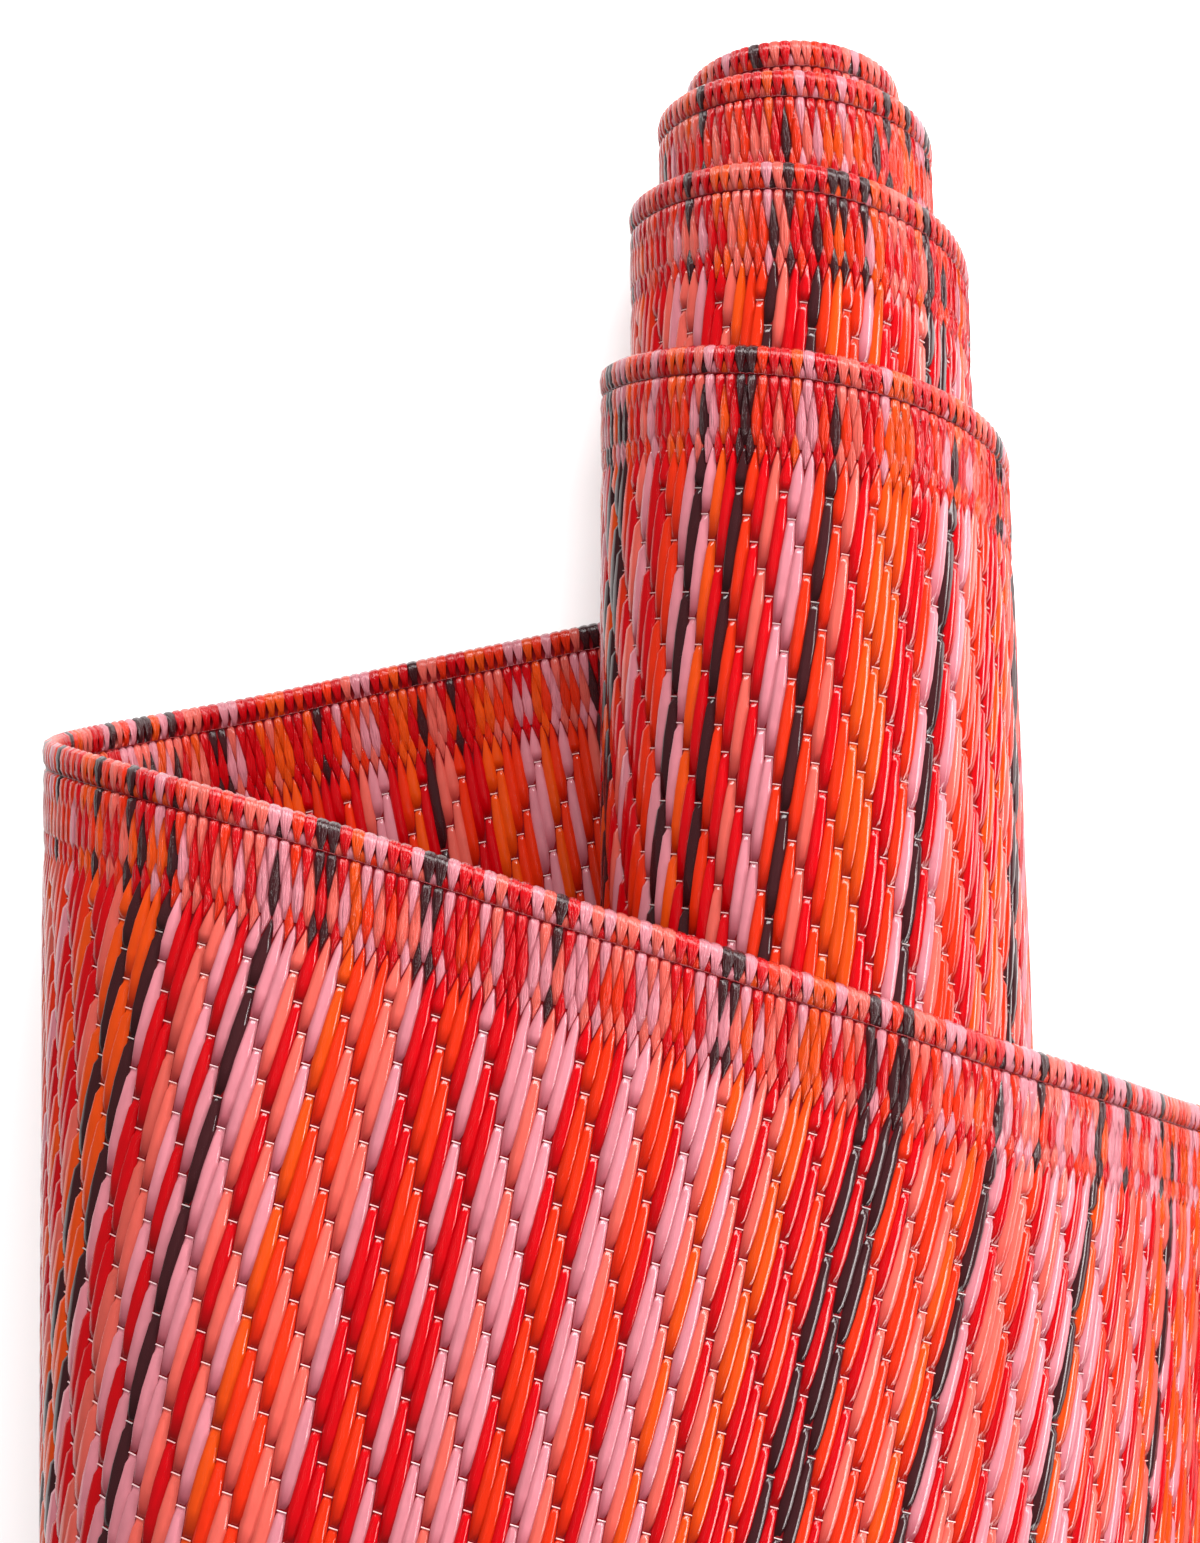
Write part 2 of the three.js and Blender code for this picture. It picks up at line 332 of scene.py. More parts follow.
# One colour for each straw. Pinkness is the strength of the nearest pink stretch times e to the
# power of minus the square of the distance from it over its spread, and mixes the two columns of
# shares that the colour is drawn by. Some straws take their neighbour's colour, but a third alike
# in a row gets another
def drawColours():
    places = np.array(strawColours["pinkStretches"])
    near = np.exp(-(((strawStart[:, None] - places[:, 0]) / places[:, 1]) ** 2))
    pink = (places[:, 2] * near).max(axis=1)[:, None]
    palette = strawColours["palette"]
    reddish, pinkish = np.array([row[1] for row in palette]), np.array([row[2] for row in palette])
    chance = np.cumsum(reddish * (1 - pink) + pinkish * pink, axis=1)
    chance /= chance[:, -1:]
    pick = (rng.random(strawCount)[:, None] > chance).sum(axis=1)
    number = np.arange(strawCount)
    fresh = rng.random(strawCount) > strawColours["sameAsNeighbour"]
    fresh[0] = True
    pick = pick[np.maximum.accumulate(np.where(fresh, number, 0))]
    lightColours = len(palette) - 1
    step = rng.integers(1, lightColours, strawCount)
    for group in (2, 0, 1):
        third = (pick == np.roll(pick, 1)) & (pick == np.roll(pick, 2)) & (number % 3 == group)
        pick = np.where(third, (pick + step) % lightColours, pick)
    colours = toLinear([row[0] for row in palette])[pick] * strawColours["albedo"]
    return colours * (1 + strawColours["shade"] * rng.standard_normal(strawCount)[:, None])


faceColours = drawColours()
reverseColours = drawColours()


plastics = {
    "ior": 1.45,
    "specular": 0.5,
    "dullSpecular": 0.1,  # where there is no coat
    "coatRoughness": 0.05,
    "bumpDistance": 0.0012,  # metres
    "ridgeStretch": 0.9,  # how often the ridges vary along a straw
    "creasePlace": 0.66,  # across a straw, from 0 to 1
    "blotchValue": 0.24,  # how much the blotches change the colour's value
    "blotchRoughness": 0.06,
}


def nodeAt(tree, kind, place, **settings):
    node = tree.nodes.new(kind)
    node.location = place
    for key, value in settings.items():
        setattr(node, key, value)
    return node


def mathNode(tree, operation, place, *values):
    node = nodeAt(tree, "ShaderNodeMath", place, operation=operation)
    for i, value in enumerate(values):
        if hasattr(value, "is_output"):
            tree.links.new(value, node.inputs[i])
        else:
            node.inputs[i].default_value = value
    return node.outputs[0]


# Height of a straw's skin: a noise that is drawn out along the straw, times the wave depth, less
# the distance from the crease times the crease depth
def buildSkinGroup():
    group = bpy.data.node_groups.new("strawSkin", "ShaderNodeTree")
    for name in ("Ridge Scale", "Crease Depth", "Wave Depth"):
        group.interface.new_socket(name=name, in_out="INPUT", socket_type="NodeSocketFloat")
    group.interface.new_socket(name="Height", in_out="OUTPUT", socket_type="NodeSocketFloat")
    group.interface.new_socket(name="Blotch", in_out="OUTPUT", socket_type="NodeSocketFloat")
    inputs = nodeAt(group, "NodeGroupInput", (-900, 0))
    outputs = nodeAt(group, "NodeGroupOutput", (700, 0))
    uvMap = nodeAt(group, "ShaderNodeUVMap", (-900, 300), uv_map="strawUV")
    split = nodeAt(group, "ShaderNodeSeparateXYZ", (-700, 300))
    group.links.new(uvMap.outputs["UV"], split.inputs[0])
    across, along = split.outputs[0], split.outputs[1]
    ridgeX = mathNode(group, "MULTIPLY", (-500, 300), across, inputs.outputs["Ridge Scale"])
    ridgeY = mathNode(group, "MULTIPLY", (-500, 150), along, plastics["ridgeStretch"])
    place = nodeAt(group, "ShaderNodeCombineXYZ", (-300, 250))
    group.links.new(ridgeX, place.inputs[0])
    group.links.new(ridgeY, place.inputs[1])
    ridges = nodeAt(group, "ShaderNodeTexNoise", (-120, 300), noise_dimensions="2D")
    ridges.inputs["Scale"].default_value = 1.0
    ridges.inputs["Detail"].default_value = 2.0
    group.links.new(place.outputs[0], ridges.inputs["Vector"])
    fromCrease = mathNode(group, "SUBTRACT", (-300, 50), across, plastics["creasePlace"])
    fromCrease = mathNode(group, "ABSOLUTE", (-120, 50), fromCrease)
    crease = mathNode(group, "MULTIPLY", (60, 50), fromCrease, inputs.outputs["Crease Depth"])
    waveDepth = inputs.outputs["Wave Depth"]
    wave = mathNode(group, "MULTIPLY", (60, 300), ridges.outputs["Fac"], waveDepth)
    height = mathNode(group, "SUBTRACT", (260, 200), wave, crease)
    group.links.new(height, outputs.inputs["Height"])
    group.links.new(ridges.outputs["Fac"], outputs.inputs["Blotch"])
    return group


# A plastic of the straws' own colours. The skin's blotches, from 0 to 1, change the colour's value
# and the roughness by the amounts in the table, half of it up and half down
def buildStrawMaterial(name, skin, roughness, ridgeScale, creaseDepth, waveDepth, coat):
    material = bpy.data.materials.new(name)
    material.use_nodes = True
    tree = material.node_tree
    tree.nodes.clear()
    output = nodeAt(tree, "ShaderNodeOutputMaterial", (600, 0))
    shader = nodeAt(tree, "ShaderNodeBsdfPrincipled", (300, 0))
    shader.inputs["IOR"].default_value = plastics["ior"]
    specular = plastics["specular"] if coat else plastics["dullSpecular"]
    shader.inputs["Specular IOR Level"].default_value = specular
    shader.inputs["Coat Weight"].default_value = coat
    shader.inputs["Coat Roughness"].default_value = plastics["coatRoughness"]
    tree.links.new(shader.outputs[0], output.inputs[0])
    colour = nodeAt(tree, "ShaderNodeAttribute", (-700, 200), attribute_name="strawColour")
    surface = nodeAt(tree, "ShaderNodeGroup", (-700, -150), node_tree=skin)
    surface.inputs["Ridge Scale"].default_value = ridgeScale
    surface.inputs["Crease Depth"].default_value = creaseDepth
    surface.inputs["Wave Depth"].default_value = waveDepth
    tint = nodeAt(tree, "ShaderNodeHueSaturation", (-200, 200))
    blotch, spread = surface.outputs["Blotch"], plastics["blotchValue"]
    value = mathNode(tree, "MULTIPLY_ADD", (-420, 100), blotch, spread, 1 - spread / 2)
    tree.links.new(value, tint.inputs["Value"])
    tree.links.new(colour.outputs["Color"], tint.inputs["Color"])
    tree.links.new(tint.outputs[0], shader.inputs["Base Color"])
    spread = plastics["blotchRoughness"]
    rough = mathNode(tree, "MULTIPLY_ADD", (-200, -50), blotch, spread, roughness - spread / 2)
    tree.links.new(rough, shader.inputs["Roughness"])
    bump = nodeAt(tree, "ShaderNodeBump", (0, -250))
    bump.inputs["Strength"].default_value = 1.0
    bump.inputs["Distance"].default_value = plastics["bumpDistance"]
    tree.links.new(surface.outputs["Height"], bump.inputs["Height"])
    tree.links.new(bump.outputs[0], shader.inputs["Normal"])
    return material


# Name, skin, roughness, ridge scale, crease depth, wave depth, coat
skinGroup = buildSkinGroup()
strawPlastic = buildStrawMaterial("strawPlastic", skinGroup, 0.12, 2.0, 0.3, 0.012, 0.25)
crumpledPlastic = buildStrawMaterial("crumpledPlastic", skinGroup, 0.14, 6.0, 0.0, 0.7, 0.25)
threadPlastic = buildStrawMaterial("threadPlastic", skinGroup, 0.2, 3.0, 0.0, 0.2, 0.3)
groundPlastic = buildStrawMaterial("groundPlastic", skinGroup, 0.8, 3.0, 0.0, 0.3, 0.0)
print("materials built")


camera = {
    "place": (-0.154827, 0.196423, 0.867),
    "tilt": 3.65,  # degrees from straight down, towards +Y
    "focalPixels": 2350.0,
    "imageHeight": 1543.0,
    "sensor": 36.0,
    "shiftUp": 0.1,
    "nearest": 0.01,
}


def addCamera():
    data = bpy.data.cameras.new("photoCamera")
    data.sensor_width = camera["sensor"]
    data.lens = camera["focalPixels"] / camera["imageHeight"] * camera["sensor"]
    data.shift_y = camera["shiftUp"]
    data.clip_start = camera["nearest"]
    eye = bpy.data.objects.new("photoCamera", data)
    eye.location = camera["place"]
    eye.rotation_euler = (np.radians(camera["tilt"]), 0, 0)
    bpy.context.scene.collection.objects.link(eye)
    bpy.context.scene.camera = eye


studio = {
    "floorSize": 12.0,
    "floorColour": (0.93, 0.93, 0.93),
    "floorRoughness": 0.9,
    "floorSpecular": 0.1,
    "air": (1.0, 1.0, 1.0),
    "airStrength": 0.12,
    # name, place, size level, size upwards, watts, whether glossy straws mirror it
    "softboxes": [
        ("topSoftbox", (0.2, 1.8, 1.2), 2.2, 0.5, 42.0, True),
        ("topRightSoftbox", (1.1, 1.25, 1.35), 0.6, 0.6, 12.0, False),
        ("rightStrip", (1.3, 0.1, 0.95), 2.6, 0.2, 31.0, True),
        ("overheadSoftbox", (-0.2, 0.4, 2.3), 1.6, 1.6, 52.0, False),
    ],
    "aim": (-0.1, 0.0, 0.08),
}


def addStudio():
    size = studio["floorSize"] / 2
    mesh = bpy.data.meshes.new("studioFloor")
    corners = [(-size, -size, 0), (size, -size, 0), (size, size, 0), (-size, size, 0)]
    mesh.from_pydata(corners, [], [(0, 1, 2, 3)])
    material = bpy.data.materials.new("paleFloor")
    material.use_nodes = True
    shader = material.node_tree.nodes["Principled BSDF"]
    shader.inputs["Base Color"].default_value = (*studio["floorColour"], 1)
    shader.inputs["Roughness"].default_value = studio["floorRoughness"]
    shader.inputs["Specular IOR Level"].default_value = studio["floorSpecular"]
    mesh.materials.append(material)
    floor = bpy.data.objects.new("studioFloor", mesh)
    bpy.context.scene.collection.objects.link(floor)
    world = bpy.data.worlds.new("studioAir")
    world.use_nodes = True
    air = world.node_tree.nodes["Background"]
    air.inputs["Color"].default_value = (*studio["air"], 1)
    air.inputs["Strength"].default_value = studio["airStrength"]
    bpy.context.scene.world = world
    for name, place, across, along, watts, mirrored in studio["softboxes"]:
        light = bpy.data.lights.new(name, "AREA")
        light.shape = "RECTANGLE"
        light.size, light.size_y, light.energy = across, along, watts
        lamp = bpy.data.objects.new(name, light)
        lamp.location = place
        towards = Vector(studio["aim"]) - Vector(place)
        lamp.rotation_euler = towards.to_track_quat("-Z", "Y").to_euler()
        lamp.visible_glossy = mirrored
        bpy.context.scene.collection.objects.link(lamp)


addCamera()
addStudio()
bpy.context.scene.view_settings.view_transform = "Standard"
print("camera and studio placed")


# The cloth behind the straws, coloured dark red as painted shade for the gaps between them
ground = {
    "half": 0.4,  # half its thickness
    "columnStep": 7.0,
    "rows": 26,
    "edgeInset": 0.6,
    "firstColumn": 0.4,
    "lastColumnInset": 1.0,
    # painted shade: a deep dark red for the shaded straws seen in the gaps between the floats
    "colour": (104, 10, 16),
}


# One closed sheet: an even grid over the strip's length and width, at half the thickness to either
# side of the cloth's middle, joined round its four edges
def makeGround():
    inset, half = ground["edgeInset"], ground["half"]
    columns = int(cloth["stripLength"] / ground["columnStep"]) + 1
    lastColumn = cloth["stripLength"] - ground["lastColumnInset"]
    s = np.linspace(ground["firstColumn"], lastColumn, columns)
    v = np.linspace(inset, cloth["stripWidth"] - inset, ground["rows"])
    grid = [clothPoint(s[None, :], v[:, None], side * half) for side in (1, -1)]
    rows, count = len(v), len(v) * len(s)
    outerFaces = gridFaces(1, rows, columns, False)
    innerFaces = gridFaces(1, rows, columns, True) + count
    top, bottom = np.arange(columns), np.arange(columns) + (rows - 1) * columns
    first, last = np.arange(rows) * columns, np.arange(rows) * columns + columns - 1
    rims = []
    for rim, turned in ((top, True), (bottom, False), (first, False), (last, True)):
        quads = np.stack([rim[:-1], rim[1:], rim[1:] + count, rim[:-1] + count], axis=1)
        rims.append(quads[:, ::-1] if turned else quads)
    points = np.concatenate([g.reshape(-1, 3) for g in grid])
    faces = np.concatenate([outerFaces, innerFaces, *rims])
    flat = np.broadcast_arrays(s[None, :] / cloth["strawPitch"], v[:, None] / cloth["repeat"])
    uv = np.tile(np.stack(flat, -1).reshape(-1, 2), (2, 1))
    colours = np.tile(toLinear(ground["colour"]), (len(points), 1))
    return makePiece("runner_cloth", points, faces, uv, colours, groundPlastic)


runnerCloth = makeGround()


straws = {
    "base": 0.3,  # offset where a straw's sides meet the cloth
    "crown": 2.1,  # height of a straw above that
    "across": np.array([-0.5, -0.22, 0.2, 0.5]),  # places across its width
    "bulge": np.array([0.0, 0.92, 1.0, 0.0]),  # height at those places
    "flatness": 0.78,  # how much of a shoulder's normal comes from the flat top
    "faceShift": 0.0,  # where each face's straws start, in pitches
    "reverseShift": 0.5,
    "firstDip": 1.36,  # distances from the long edge, in repeats
    "lastDip": 1.34,
    "tipStart": 0.97,
    "stagger": 4,  # straws from one to the next whose dips lie level with it
    "stations": np.array([0, 0.03, 0.09, 0.40, 0.72, 0.89, 1.0]),
    "dipWidth": np.array([0.70, 0.74, 0.90, 1.30, 1.26, 1.0, 0.72]),  # in pitches
    "dipHeight": np.array([0.05, 0.28, 0.86, 1.08, 1.0, 0.66, -0.1]),
    # painted shade along a float: its colour darkens towards the lower dip, where it dives under
    # the thread
    "dipPaintedShade": np.array([0.92, 1.0, 1.0, 1.0, 0.96, 0.72, 0.35]),
    "tipLength": 7.6,
    "tipWidth": 1.196,
    "tipPoint": 0.06,  # share of the width at a tip's very end
    "tipWidthPower": 0.8,
    "tipRise": 0.3,  # share of the height there
    "tipHeightPower": 0.6,
    # the painted shade turns redder as it darkens: green and blue fade sooner
    "paintedShadeTint": np.array([1.0, 2.0, 1.8]),  # how much sooner green and blue fade in the shade
    "alongScale": 6.0,  # of the skin's noise, along a straw and from one straw to the next
    "alongShift": 1.7,
}

# Which parts of the wound layers are built
windings = {
    "entry": 6.0,  # how far into the roll the strip counts as loose
    "firstTurn": 0.1,  # radians past the first turn that still show
    "margin": 28.0,
    "upperEnd": 80.0,  # what shows inside the innermost turn, from its two rims
    "lowerEnd": 120.0,
}


# What shows of a wound layer: its face as far as the upper rim of the turn outside it, and its
# reverse as far as the lower rim of the turn inside it, each with a margin
def isShown(s, v, side):
    s = s + strawSkew(s, v)
    lean = np.radians(smoothTable(strawLean, s))
    u = s + v * np.sin(lean)
    y = smoothTable(edgeRise, s) - v * np.cos(lean)
    angle = windingAngle(np.maximum(u, rollStart))
    lastAngle = windingAngle(np.array(cloth["stripLength"]))
    loose = u < rollStart + windings["entry"]
    margin = windings["margin"]
    if side > 0:
        firstTurn = angle < 2 * np.pi + windings["firstTurn"]
        outerRim = smoothTable(edgeRise, lengthAtAngle(np.maximum(angle - 2 * np.pi, 0)))
        return loose | firstTurn | (y > outerRim - margin)
    innerAngle = angle + 2 * np.pi
    innerStart = lengthAtAngle(np.minimum(innerAngle, lastAngle))
    innerLower = smoothTable(edgeRise, innerStart) - cloth["stripWidth"]
    innermost = innerAngle > lastAngle
    atEnds = (v < windings["upperEnd"]) | (v > cloth["stripWidth"] - windings["lowerEnd"])
    return loose | (y < innerLower + margin) | (innermost & atEnds)


# Where one face's straws start: every pitch along the strip, the reverse's half a pitch further
def startsOn(index, side):
    shift = straws["faceShift"] if side > 0 else straws["reverseShift"]
    return strawStart[index] + shift * cloth["strawPitch"]


# Where each straw is drawn down: from its first dip on once a repeat, and a quarter of a repeat
# sooner from one straw to the next
def dipPlaces(index):
    repeat, stagger = cloth["repeat"], straws["stagger"]
    last = cloth["stripWidth"] - straws["lastDip"] * repeat
    first = (straws["firstDip"] + (-index) % stagger / stagger) * repeat
    most = int((last - straws["firstDip"] * repeat) / repeat) + 2
    dips = first[:, None] + np.arange(most)[None] * repeat
    return dips, dips <= last


# Patches of straw on one face: across a straw its surface lies at the base plus the crown times the
# height at that station times the bulge at that place across, and as far to the side as the width
# times the place
def archPatches(s, v, width, height, side, colours):
    across, bulge = straws["across"], straws["bulge"]
    sAll = s[:, None, None] + across[None, None, :] * width[:, :, None]
    vAll = np.broadcast_to(v[:, :, None], sAll.shape)
    offset = straws["base"] + straws["crown"] * height[:, :, None] * bulge[None, None, :]
    points = clothPoint(sAll, vAll, side * offset)
    u = np.broadcast_to(across[None, None, :] + 0.5, sAll.shape)
    along = vAll / cloth["repeat"] * straws["alongScale"] + s[:, None, None] * straws["alongShift"]
    return points, np.stack([u, along], -1), colours, side < 0


# A straw's colour along itself with painted shade: its colour times the painted shade, which is
# raised to a power for each of red, green and blue, so that the painted shade turns redder as it
# darkens
def paintedShadeColours(colours, shade):
    return colours[:, None] * shade[:, :, None] ** straws["paintedShadeTint"]


# The straws' long floats on one face, from dip to dip, with pointed tips at both edge bands. Along
# a float its width, height and painted shade come from the tables; the painted shade darkens its
# colour towards the dips, where it dives under a thread. Near a tip taper grows evenly from 0 at
# its end to 1, and the width and the height are a share at the end plus the rest times the taper to
# a power
def floatPatches(side, colours, chosen):
    repeat, pitch = cloth["repeat"], cloth["strawPitch"]
    index = np.flatnonzero(chosen)
    upperTip = straws["tipStart"] * repeat
    lowerTip = cloth["stripWidth"] - upperTip
    dips, isDip = dipPlaces(index)
    one = np.ones((len(index), 1))
    starts = np.concatenate([upperTip * one, dips], axis=1)
    ends = np.concatenate([np.where(isDip, dips, lowerTip), lowerTip * one], axis=1)
    used = np.concatenate([one > 0, isDip], axis=1)
    straw = np.repeat(index[:, None], used.shape[1], axis=1)[used]
    start, end = starts[used], ends[used]
    s = startsOn(straw, side)
    keep = isShown(s, (start + end) / 2, side)
    straw, start, end, s = straw[keep], start[keep, None], end[keep, None], s[keep]
    t = straws["stations"]
    v = start + (end - start) * t[None]
    atUpperTip, atLowerTip = start == upperTip, end == lowerTip
    fromTip = atUpperTip & (t < 0.5) | atLowerTip & (t > 0.5)
    width = np.where(fromTip, straws["tipWidth"], straws["dipWidth"])
    height = np.where(fromTip, 1, straws["dipHeight"])
    # painted shade along the float, none near the tips
    shade = np.where(fromTip, 1, straws["dipPaintedShade"])
    fromStart = np.clip((v - start) / straws["tipLength"], 0, 1)
    fromEnd = np.clip((end - v) / straws["tipLength"], 0, 1)
    taper = np.where(atUpperTip, fromStart, 1) * np.where(atLowerTip, fromEnd, 1)
    point, rise = straws["tipPoint"], straws["tipRise"]
    width = (point + (1 - point) * taper ** straws["tipWidthPower"]) * width * pitch
    height = (rise + (1 - rise) * taper ** straws["tipHeightPower"]) * height
    return archPatches(s, v, width, height, side, paintedShadeColours(colours[straw], shade))


thread = {
    "width": 0.42,
    "rise": 0.5,
    "reach": 0.36,  # to either side, in pitches
    "base": 0.65,
    "pale": 0.42,  # how far its colour goes from the straw's to the tint
    "tint": (1.0, 0.86, 0.84),
}


# A fine binding thread over every dip: a ridge of three rows, its edges at the base and its middle
# row higher by the rise, reaching as far to either side as the table says
def threadPatches(side, colours):
    index = np.arange(strawCount)
    dips, isDip = dipPlaces(index)
    straw = np.repeat(index[:, None], dips.shape[1], axis=1)[isDip]
    v = dips[isDip]
    s = startsOn(straw, side)
    keep = isShown(s, v, side)
    straw, v, s = straw[keep], v[keep], s[keep]
    across = np.array([-1.0, 1.0]) * cloth["strawPitch"] * thread["reach"]
    along = np.array([-0.5, 0.0, 0.5]) * thread["width"]
    rise = np.array([0.0, 1.0, 0.0]) * thread["rise"]
    points = clothPoint(s[:, None, None] + across, v[:, None, None] + along[:, None],
                        side * (thread["base"] + rise[:, None]))
    uv = np.zeros(points.shape[:3] + (2,))
    tint = colours[straw] * (1 - thread["pale"]) + thread["pale"] * np.array(thread["tint"])
    return points, uv, tint[:, None], side < 0


edgeBand = {
    # for each row of the band: which face's straws it is made of, and at stations along them the
    # distance from the rim in repeats, the width in pitches and the height
    "rows": [
        ("own", (0.145, 0.20, 0.25),
         (0.05, 0.62, 0.86),
         (0.72, 0.78, 0.2)),
        ("other", (0.255, 0.29, 0.38, 0.52, 0.65),
         (0.62, 0.86, 0.90, 0.52, 0.06),
         (0.1, 0.85, 1.0, 0.8, 0.4)),
        ("own", (0.36, 0.50, 0.66, 0.82, 0.94),
         (0.06, 0.58, 1.0, 0.96, 0.36),
         (0.5, 0.92, 1.0, 0.92, 0.2)),
        ("other", (0.78, 0.87, 0.96, 1.12),
         (0.08, 0.6, 0.86, 0.06),
         (0.5, 0.85, 0.85, 0.4)),
    ],
    # painted shade of each band row: darker at its first and last stations, where it dips into the
    # cloth
    "rowPaintedShade": (0.75, 1.0, 1.0, 0.8),  # from a row's first station to its last, evenly spaced
    # the straws that turn over the rim, by stations from the stitching out to the rim
    "wrapDistance": (0.255, 0.2, 0.1, 0.02, -0.01),
    "wrapOffset": (0.7, 1.75, 2.1, 1.55, 0.0),
    "wrapWidth": (0.36, 0.58, 0.92, 1.08, 1.1),
    # painted shade of the turned-over straws: darker towards the stitching, where they are pinched
    # in
    "wrapPaintedShade": (0.5, 0.9, 1.0, 1.0, 1.0),
    "wrapBulge": 0.55,
}


# The band of gathered straws along an edge: rows of the arches described above, whose widths and
# heights come from the table, taken backwards at the lower edge, and whose colours carry the rows'
# painted shade
def bandPatches(side, atLower):
    patches = []
    index = np.arange(strawCount)
    for whose, *stations in edgeBand["rows"]:
        strawSide = side if whose == "own" else -side
        colours = faceColours if strawSide > 0 else reverseColours
        v, width, height = (np.array(row) for row in stations)
        v, width = v * cloth["repeat"], width * cloth["strawPitch"]
        paintedShades = edgeBand["rowPaintedShade"]
        shade = np.interp(np.linspace(0, len(paintedShades) - 1, len(v)), range(len(paintedShades)), paintedShades)
        if atLower:
            v = cloth["stripWidth"] - v[::-1]
            width, height, shade = width[::-1], height[::-1], shade[::-1]
        s = startsOn(index, strawSide)
        keep = isShown(s, np.full(len(s), v.mean()), side)
        one = np.ones((keep.sum(), 1))
        # painted shade along the row
        withPaintedShade = paintedShadeColours(colours[index[keep]], one * shade)
        patches.append(archPatches(s[keep], one * v, one * width, one * height, side, withPaintedShade))
    return patches


# A row of values going out to the rim, then the same row coming back on the other face
def thereAndBack(values, sign=1):
    return np.array(values + tuple(sign * value for value in values[-2::-1]))


# The straws that turn over the rim: a fan from the stitching on one face, round the edge, to the
# other. Its middle line follows the table's distances and offsets, and across it the surface stands
# out from that line, at right angles to it, by the bulge at that place. Its colour carries painted
# shade, darker towards the stitching
def wrapPatches(atLower):
    repeat, pitch = cloth["repeat"], cloth["strawPitch"]
    distance = thereAndBack(edgeBand["wrapDistance"]) * repeat
    offset = thereAndBack(edgeBand["wrapOffset"], -1)
    width = thereAndBack(edgeBand["wrapWidth"]) * pitch
    # painted shade along the fan
    shade = thereAndBack(edgeBand["wrapPaintedShade"])
    outwards = np.stack([np.gradient(offset), -np.gradient(distance)])
    outwards = (outwards / np.linalg.norm(outwards, axis=0))[:, :, None]
    bulge = straws["bulge"][None, :] * edgeBand["wrapBulge"]
    s = startsOn(np.arange(strawCount), -1)
    v = distance[:, None] + bulge * outwards[0]
    v = cloth["stripWidth"] - v if atLower else v
    sAll = s[:, None, None] + straws["across"][None, None, :] * width[None, :, None]
    points = clothPoint(sAll, v[None], (offset[:, None] + bulge * outwards[1])[None])
    u = np.broadcast_to(straws["across"][None, None, :] + 0.5, sAll.shape)
    along = distance[None, :, None] / repeat * straws["alongScale"]
    along = np.broadcast_to(along + s[:, None, None] * straws["alongShift"], sAll.shape)
    withPaintedShade = paintedShadeColours(reverseColours, np.ones((len(s), 1)) * shade)
    return points, np.stack([u, along], -1), withPaintedShade, atLower


trim = {
    "stitchDistance": 0.256,  # from the rim, in repeats
    "stitchOffset": 1.0,
    "stitchRadius": 0.22,
    "stitchSides": 6,
    "stitchInset": 2.0,  # from both ends of the strip
    "stitchStep": 3.55,
    "stitchSkin": 3.0,  # length of the skin's pattern along it
    "stitchWave": 0.45,  # how far the thread rises and falls from straw to straw
    "stitchColour": (110, 12, 18),
    # across the hem's band: distances from the short end, and offsets from the cloth's middle
    "hemDistance": np.array([11.0, 11.0, 5.5, 1.5, 0.4, 0.4, 0.4, 1.5, 5.5, 11.0, 11.0]),
    "hemOffset": np.array([0.5, 0.9, 1.0, 0.95, 0.6, 0.0, -0.6, -0.95, -1.0, -0.9, -0.5]) * 2.35,
    "hemEdge": 0.4,
    "hemRows": 350,
    "hemRipple": 0.05,
    "ripplePace": 2.1,  # radians a pitch
    "hemSkin": (4.0, 6.0),  # size of the skin's pattern across and along it
    "hemColour": (214, 60, 48),
}


# The stitching, one thread along each long edge on each face: a circle's cosine and sine about a
# line that rises and falls as a cosine from straw to straw
def stitchPatches(side, atLower):
    inset = trim["stitchInset"]
    s = np.arange(inset, cloth["stripLength"] - inset, trim["stitchStep"] / 2)
    v = np.full(len(s), trim["stitchDistance"] * cloth["repeat"])
    v = cloth["stripWidth"] - v if atLower else v
    keep = isShown(s, v, side)
    s, v = s[keep], v[keep]
    angle = np.linspace(0, 2 * np.pi, trim["stitchSides"] + 1)
    wave = trim["stitchWave"] * np.cos(2 * np.pi * s / trim["stitchStep"])
    around = trim["stitchRadius"] * np.array([np.cos(angle), np.sin(angle)])
    points = clothPoint(s[None, :, None], (v[:, None] + around[0])[None],
                        side * (trim["stitchOffset"] + wave[:, None] + around[1])[None])
    along = s[None, :, None] / trim["stitchSkin"]
    uv = np.stack(np.broadcast_arrays(along, angle[None, None, :]), -1)
    return points, uv, toLinear(trim["stitchColour"]) * np.ones((1, 1, 3)), side > 0


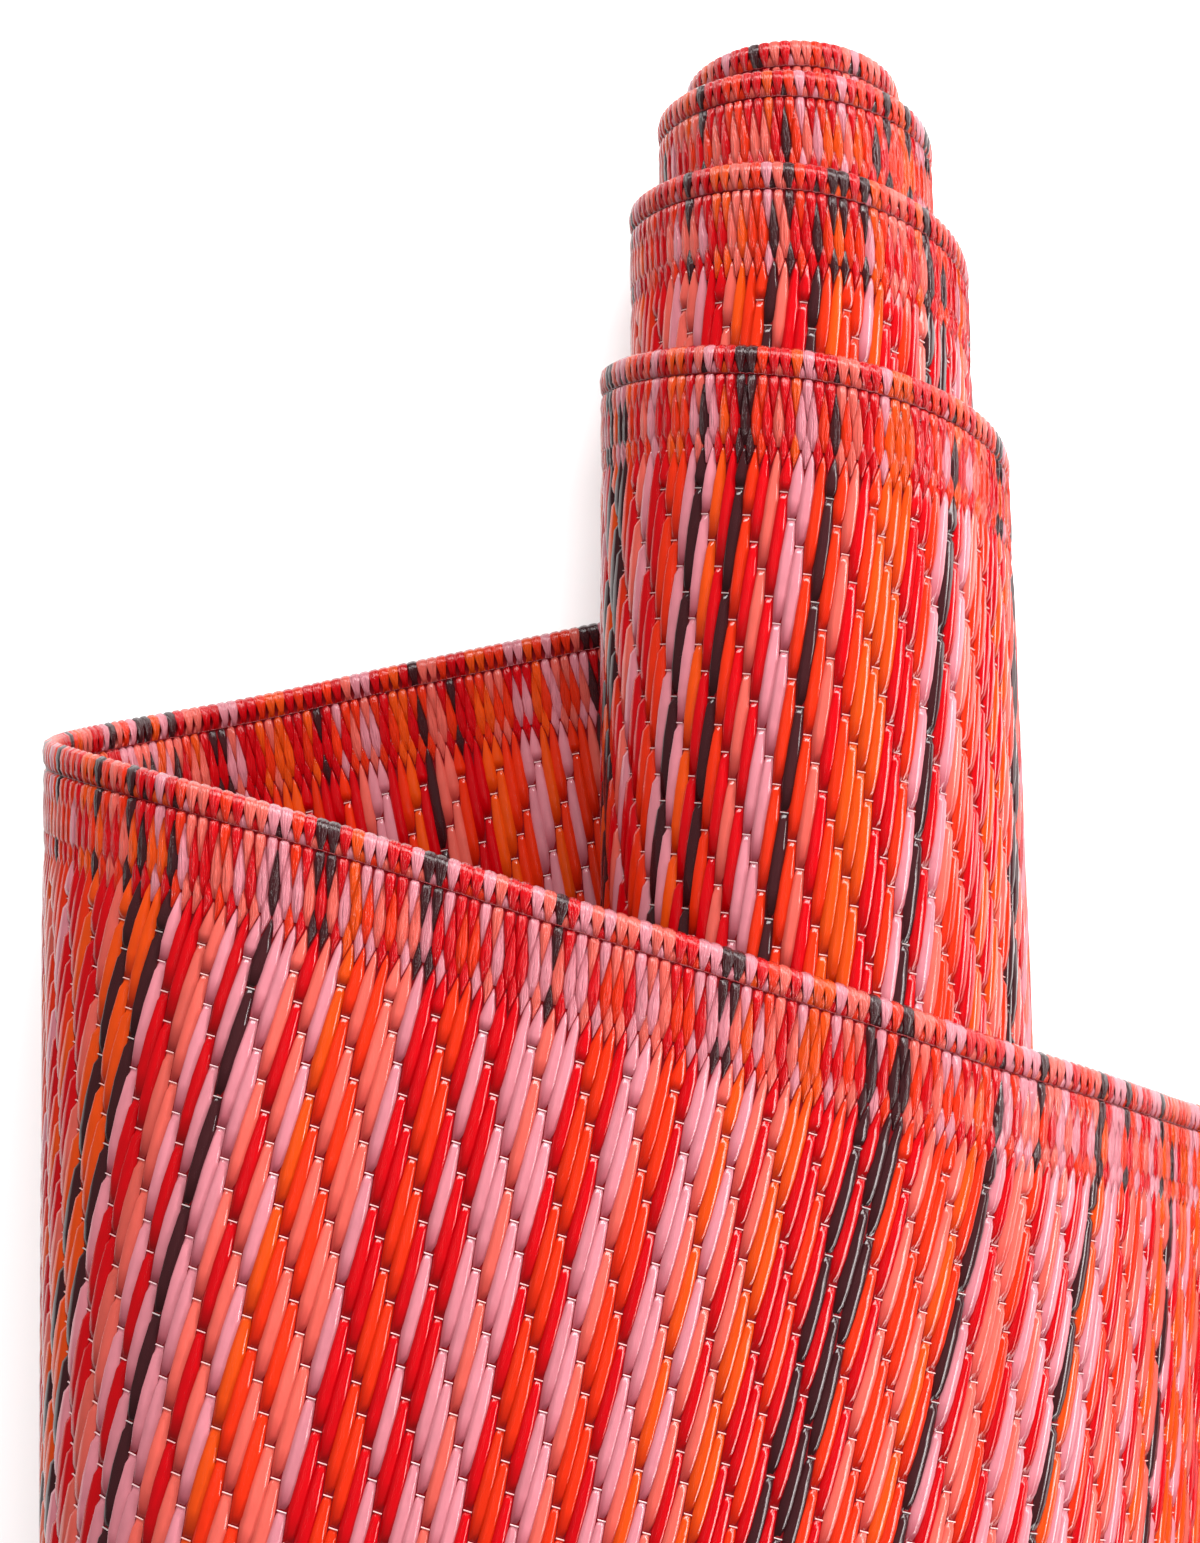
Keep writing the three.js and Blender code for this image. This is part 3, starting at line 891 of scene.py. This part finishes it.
# A hem, a band folded over a short end: its section is the table's, with offsets that swell and
# shrink by the ripple times a sine along the end
def hemPatch(atEnd):
    edge = trim["hemEdge"]
    v = np.linspace(edge, cloth["stripWidth"] - edge, trim["hemRows"])
    s = cloth["stripLength"] - trim["hemDistance"] if atEnd else trim["hemDistance"]
    swell = 1 + trim["hemRipple"] * np.sin(v / cloth["strawPitch"] * trim["ripplePace"])
    offset = trim["hemOffset"] * swell[:, None]
    points = clothPoint(s[None, None, :], v[None, :, None], offset[None])
    across, along = s[None, None, :] / trim["hemSkin"][0], v[None, :, None] / trim["hemSkin"][1]
    uv = np.stack(np.broadcast_arrays(across, along), -1)
    return points, uv, toLinear(trim["hemColour"]) * np.ones((1, 1, 3)), not atEnd


foldFrom = 530.0  # length along the strip where the front panel's pieces end
front = strawStart < foldFrom
wound = strawStart >= rollStart
fold = ~front & ~wound

pieces = [
    joinPatches("front_face_straws", [floatPatches(1, faceColours, front)], strawPlastic),
    joinPatches("fold_face_straws", [floatPatches(1, faceColours, fold)], strawPlastic),
    joinPatches("front_reverse_straws", [floatPatches(-1, reverseColours, front)], strawPlastic),
    joinPatches("fold_reverse_straws", [floatPatches(-1, reverseColours, fold)], strawPlastic),
    joinPatches("roll_straws", [floatPatches(1, faceColours, wound),
                                floatPatches(-1, reverseColours, wound)], strawPlastic),
    joinPatches("upper_edge_band", [*bandPatches(1, False), *bandPatches(-1, False),
                                    wrapPatches(False)], crumpledPlastic),
    joinPatches("lower_edge_band", [*bandPatches(1, True), *bandPatches(-1, True),
                                    wrapPatches(True)], crumpledPlastic),
    joinPatches("binding_threads", [threadPatches(1, faceColours),
                                    threadPatches(-1, reverseColours)], threadPlastic),
    joinPatches("edge_stitching", [stitchPatches(1, False), stitchPatches(1, True),
                                   stitchPatches(-1, False), stitchPatches(-1, True)],
                threadPlastic),
    joinPatches("end_hems", [hemPatch(False), hemPatch(True)], crumpledPlastic),
]

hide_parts("loose_end", "roll")
print("cloth and", len(pieces), "pieces handed over")
